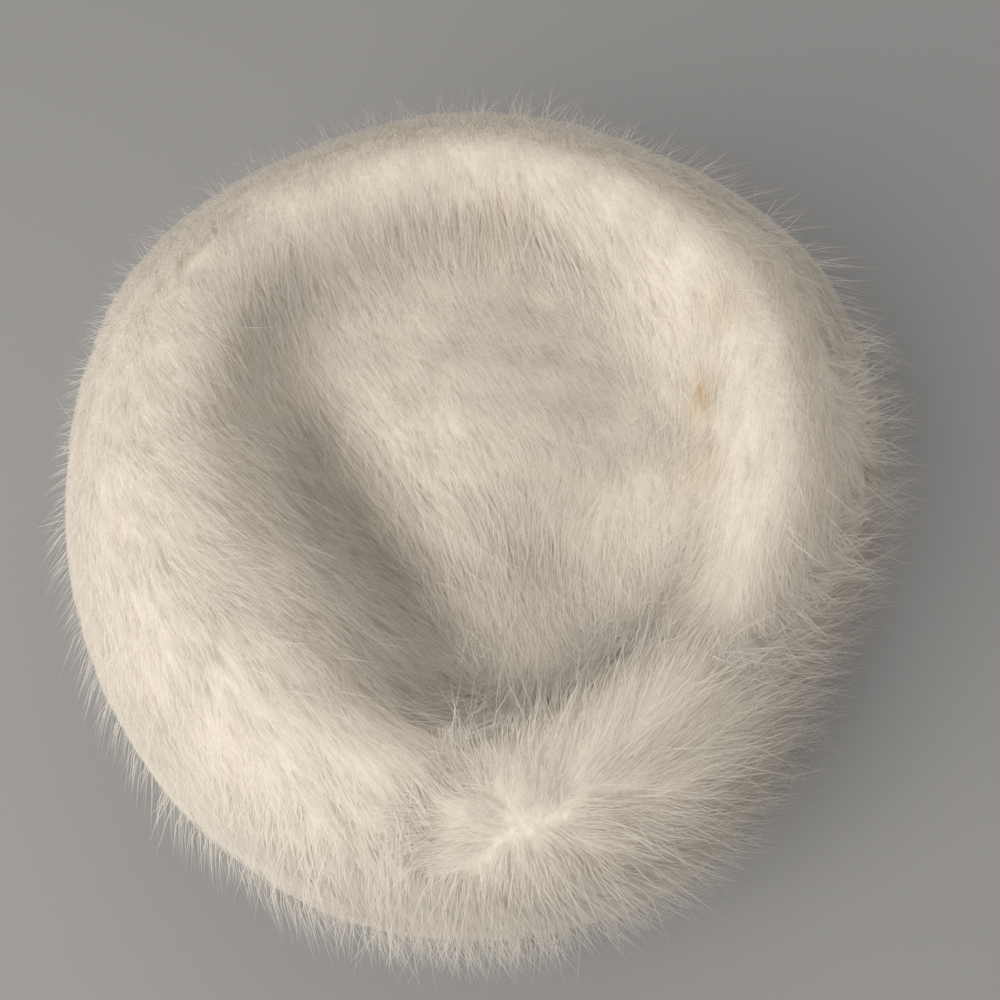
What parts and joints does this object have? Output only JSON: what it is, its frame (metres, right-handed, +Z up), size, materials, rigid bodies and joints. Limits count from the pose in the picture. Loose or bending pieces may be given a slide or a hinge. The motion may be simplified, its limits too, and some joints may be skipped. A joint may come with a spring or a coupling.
{
  "type": "round fur hat",
  "caption": "Soft round fur hat with a deep side band that rolls over into a sunken, dented crown, open below for the head.",
  "frame": {"origin": "middle of the head opening, on the surface that the rim rests on", "axes": "+Z up through the crown, -Y the front of the hat, +Y the back where the band's ends meet, +X the right side as the picture shows it"},
  "size_m": [0.2823, 0.2904, 0.1356],
  "materials": {
    "pelt_leather": "suede flesh side of a tanned pelt",
    "white_fur": "soft cream-white fur"
  },
  "bodies": {
    "root": {"side_band_hide": "pelt_leather", "crown_hide": "pelt_leather", "side_band_fur": "white_fur", "crown_fur": "white_fur"}
  },
  "joints": []
}
